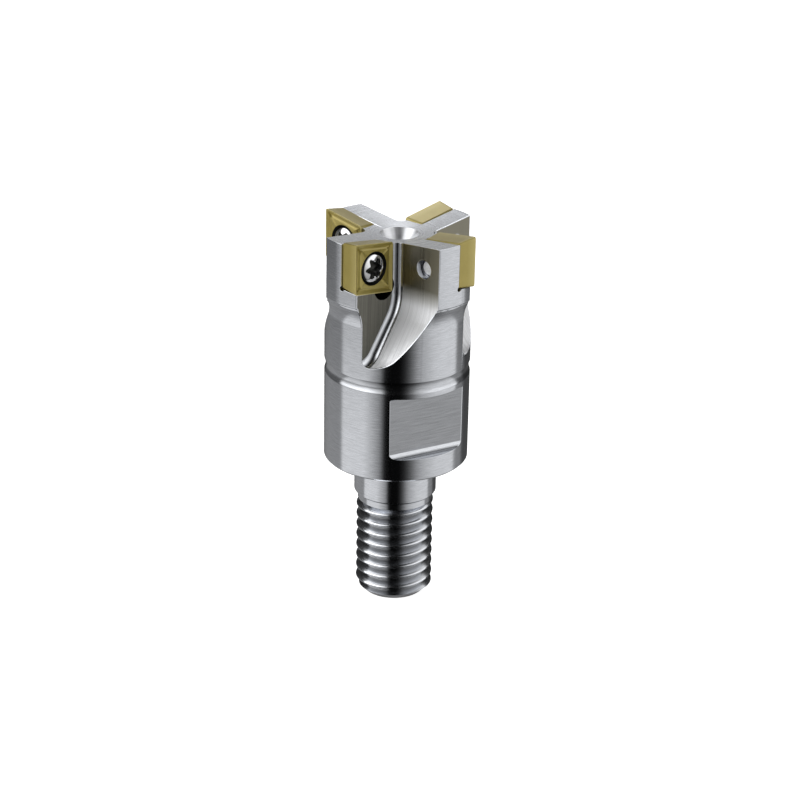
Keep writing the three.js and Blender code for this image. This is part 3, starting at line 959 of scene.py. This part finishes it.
def corner_rib(u, z):
    """The height of the small raised ribs that run from each corner towards the hole."""
    height = 0.0
    for corner in RHOMBUS:
        direction = Vector(corner).normalized()
        from_corner = Vector(corner).length - (u * direction.x + z * direction.y)
        aside = abs(u * direction.y - z * direction.x)
        along = (from_corner - CORNER_RIB["start"]) / CORNER_RIB["length"]
        if 0 < along < 1:
            width = max(CORNER_RIB["width"] * along, CORNER_RIB["tip"])
            height = max(height, CORNER_RIB["height"] * max(0.0, 1 - aside / width))
    return height


def rake_row(inward, w):
    """The rake face's outline at an inset and a height, with the ribs raised on it."""
    return [(u, w + corner_rib(u, z), z) for u, z in rounded_rhombus(inward)]


def chip_groove():
    """The rows that run down from the land into the chip groove, and up to the plateau."""
    edge = INSERT["thickness"]
    fall, lift = RAKE["fall"], RAKE["fall"] - RAKE["rise"]
    floor_end = RAKE["groove"] + RAKE["floor"]
    shares = [step / GROOVE_STEPS for step in range(GROOVE_STEPS + 1)]
    down = [
        rake_row(RAKE["land"] + (RAKE["groove"] - RAKE["land"]) * t, edge - fall * t)
        for t in shares
    ]
    up = [
        rake_row(floor_end + (RAKE["wall"] - floor_end) * t, edge - fall + lift * t * t * (3 - 2 * t))
        for t in shares[1:]
    ]
    return down + up


def cone_height(across):
    """The height of the countersink's wall at a distance from the hole's axis."""
    return HOLE["cone_bottom"] + (across - HOLE["radius"]) / math.tan(math.radians(HOLE["cone"] / 2))


def insert_mesh():
    """One insert about its hole's axis: base at lead 0, rake face with a chip groove at the top."""
    thickness, hone = INSERT["thickness"], RAKE["hone"]
    outline = rounded_rhombus(0)
    angles = [math.atan2(z, u) for u, z in outline]

    def flank(w, scale=1.0):
        share = scale * (1 - (thickness - w) * FLANK_RUN / HALF_WIDTH)
        return [(u * share, w, z * share) for u, z in outline]

    def circle(radius, w):
        return [(radius * math.cos(a), w, radius * math.sin(a)) for a in angles]

    plateau = thickness - RAKE["rise"]
    sections = [
        circle(HOLE["radius"], 0),
        flank(0, BASE_EDGE["scale"]),
        flank(BASE_EDGE["height"]),
        flank(thickness / 2),
        flank(thickness - hone),
        rake_row(hone * HONE_MIDDLE["inset"], thickness - hone * HONE_MIDDLE["depth"]),
        rake_row(hone, thickness),
        *chip_groove(),
        circle(HOLE["rim"] + HOLE_EDGE["width"], plateau),
        circle(HOLE["rim"], plateau - HOLE_EDGE["depth"]),
        circle(HOLE["rim"], cone_height(HOLE["rim"])),
        circle(HOLE["radius"], HOLE["cone_bottom"]),
    ]
    count = len(outline)
    mesh = lofted(sections, ring=True)
    # the hole's faces take the near-black painted-shadow material
    for polygon in mesh.polygons[(len(sections) - BORE_BANDS) * count:]:
        polygon.material_index = 1
    wear = mesh.attributes.new("edge_wear", "FLOAT", "POINT")
    worn = [1.0 if row in HONED_ROWS else 0.0 for row in range(len(sections)) for _ in range(count)]
    wear.data.foreach_set("value", worn)
    return mesh


def coating():
    """Satin olive-gold hard coating, a little paler along the honed cutting edges."""
    material, tree, shader = new_material("gold_coating")
    shader.inputs["Metallic"].default_value = 0.55
    shader.inputs["Coat Weight"].default_value = 0.75
    shader.inputs["Coat Roughness"].default_value = 0.28
    place = tree.nodes.new("ShaderNodeTexCoord").outputs["Object"]
    grain = noise(tree, place, scale=7.0 / MM, detail=3.0)
    cloud = noise(tree, place, scale=0.45 / MM, detail=2.0)
    gold = mixed(tree, cloud, GOLD["dark"], GOLD["light"])
    wear = remapped(tree, attribute(tree, "edge_wear"), after=(0.0, EDGE_WEAR))
    tree.links.new(mixed(tree, wear, gold, GOLD["worn"]), shader.inputs["Base Color"])
    tree.links.new(remapped(tree, grain, after=(0.30, 0.44)), shader.inputs["Roughness"])
    tree.links.new(bumped(tree, grain, strength=0.12, depth=0.01), shader.inputs["Normal"])
    return material


# ---- Insert screws ----

SCREW_POINTS = SOCKET["lobes"] * 20  # in each row of a screw
SCREW_ANGLES = [2 * math.pi * i / SCREW_POINTS for i in range(SCREW_POINTS)]
THREAD_FORM = dict(rows=12, steepness=1.15, rounding=0.12)  # rows in a pitch; above 1 flattens the root
NEAR_AXIS = 0.02  # the radius at which a screw's two ends are closed
TIP_BANDS, FLOOR_BANDS = 2, 2  # bands of faces on the screw's end and on the socket's floor


def head_height(across):
    """The height of the screw head's cone, which clears the countersink by a small gap."""
    return cone_height(across + SCREW_HEAD["seat_gap"])


def crown_height(across):
    """The height of the domed top of the screw's head."""
    top, radius = SCREW_HEAD["top"], SCREW_HEAD["radius"]
    rim_top = head_height(radius) + SCREW_HEAD["land"]
    return top - (top - rim_top) * (across / radius) ** 2


def screw_ring(radius, w):
    return [(radius * math.cos(a), w, radius * math.sin(a)) for a in SCREW_ANGLES]


def thread_row(w):
    """One outline of the screw's thread, whose crest climbs a pitch in each turn."""
    points = []
    for angle in SCREW_ANGLES:
        phase = (w / SCREW["pitch"] - angle / (2 * math.pi)) % 1
        fall = smooth_clamp(THREAD_FORM["steepness"] * abs(2 * phase - 1), THREAD_FORM["rounding"])
        radius = SCREW["shank"] - SCREW["thread_depth"] * fall
        points.append((radius * math.cos(angle), w, radius * math.sin(angle)))
    return points


def socket_row(offset, height):
    """The socket's lobed outline, moved outwards, at a height that depends on the radius."""
    points = []
    for angle in SCREW_ANGLES:
        radius = SOCKET["mean"] + offset + SOCKET["lobe"] * math.cos(SOCKET["lobes"] * angle)
        points.append((radius * math.cos(angle), height(radius), radius * math.sin(angle)))
    return points


def dome_row(share):
    """A ring of the head's top, from its rounded rim, at 0, to the socket's edge, at 1."""
    across = SCREW_HEAD["radius"] + (SCREW_HEAD["flat"] - SCREW_HEAD["radius"]) * share
    return screw_ring(across, crown_height(across) - SCREW_HEAD["rim_round"] * (1 - share) ** 4)


def shank_rows():
    """The screw's chamfered end, its thread and its plain neck."""
    end, neck, top = SCREW["end"], SCREW["neck"], SCREW["thread_top"]
    root = SCREW["shank"] - SCREW["thread_depth"]
    foot = end + SCREW["point"]
    count = int((top - foot) / SCREW["pitch"] * THREAD_FORM["rows"])
    return [
        screw_ring(NEAR_AXIS, end),
        screw_ring(root - SCREW["chamfer"], end),
        screw_ring(root, end + SCREW["chamfer"]),
        *[thread_row(foot + row * (top - foot) / count) for row in range(count + 1)],
        screw_ring(root, top + SCREW["chamfer"]),
        screw_ring(neck, top + SCREW["runout"]),
    ]


def head_rows():
    """The countersunk head, from the neck to the edge of its socket."""
    neck, radius, edge = SCREW["neck"], SCREW_HEAD["radius"], SCREW_HEAD["edge"]
    return [
        screw_ring(neck, head_height(neck)),
        screw_ring(radius - edge, head_height(radius - edge)),
        screw_ring(radius, head_height(radius) + edge),
        *[dome_row(step / ARC_STEPS) for step in range(ARC_STEPS + 1)],
    ]


def socket_rows():
    """The lobed socket, from its chamfer to its dished floor."""
    chamfer = SOCKET["chamfer"]
    floor = SCREW_HEAD["top"] - SOCKET["depth"]
    return [
        socket_row(chamfer, crown_height),
        socket_row(0, lambda radius: crown_height(radius) - chamfer),
        socket_row(-SOCKET["draft"], lambda radius: floor),
        screw_ring(SOCKET["dish"], floor - SOCKET["dish_depth"]),
        screw_ring(NEAR_AXIS, floor - SOCKET["drill_depth"]),
    ]


def screw_mesh():
    """One screw about its own axis: bright all over but for the socket's floor, painted dark as shadow,
    and the faced tip.
    """
    sections = [*shank_rows(), *head_rows(), *socket_rows()]
    mesh = lofted(sections)
    end_caps = 2
    tip_end = end_caps + TIP_BANDS * SCREW_POINTS
    floor_start = end_caps + (len(sections) - 1 - FLOOR_BANDS) * SCREW_POINTS
    # the socket's floor takes the near-black painted-shadow material
    for polygon in mesh.polygons:
        if polygon.index == 1 or polygon.index >= floor_start:
            polygon.material_index = 1
        elif polygon.index < tip_end:
            polygon.material_index = 2
    return mesh


# ---- Inserts and screws in their places ----

def at_station(mesh, arm):
    """A copy of an insert's or screw's mesh, moved to its place on one arm."""
    copy = mesh.copy()
    copy.transform(Matrix.Translation((INSERT_U, POCKET["seat"], INSERT_Z)))
    copy.transform(Matrix.Rotation(arm_azimuth(arm), 4, "Z"))
    return copy


def insert_materials():
    # the bore is painted near-black: painted shadow around the screw's head
    return [coating(), steel("shadowed_bore", SHADOW_BLACK, 0.45, streak=0.2)]


def screw_materials():
    return [
        steel("polished_screw_steel", POLISHED, 0.12, streak=0.08, across=5.0, along=0.6, bump=0.1),
        # painted shadow on the socket's floor
        steel("shadowed_socket_floor", SOCKET_SHADOW, 0.3, streak=0.3, along=1.5),
        steel("faced_tip", BRUSHED, 0.35, streak=0.4, along=1.0, metallic=0.35),
    ]


def clamped_pieces():
    """The inserts and the screws that clamp them."""
    insert, screw = insert_mesh(), screw_mesh()
    shade_by_angle(insert, INSERT_CREASE)
    shade_by_angle(screw, SCREW_CREASE)
    for mesh, materials in ((insert, insert_materials()), (screw, screw_materials())):
        for material in materials:
            mesh.materials.append(material)
    for arm in range(ARMS):
        number = arm + 1
        finished_piece(
            f"coated_insert_{number}", at_station(insert, arm), f"insert_{number}",
        )
        finished_piece(
            f"socket_screw_{number}", at_station(screw, arm), f"insert_screw_{number}",
        )


# ---- The whole scene ----

add_camera()
add_floor()
add_studio()
body_piece()
clamped_pieces()

scene = bpy.context.scene
scene.view_settings.view_transform = "Standard"
scene.view_settings.look = "None"
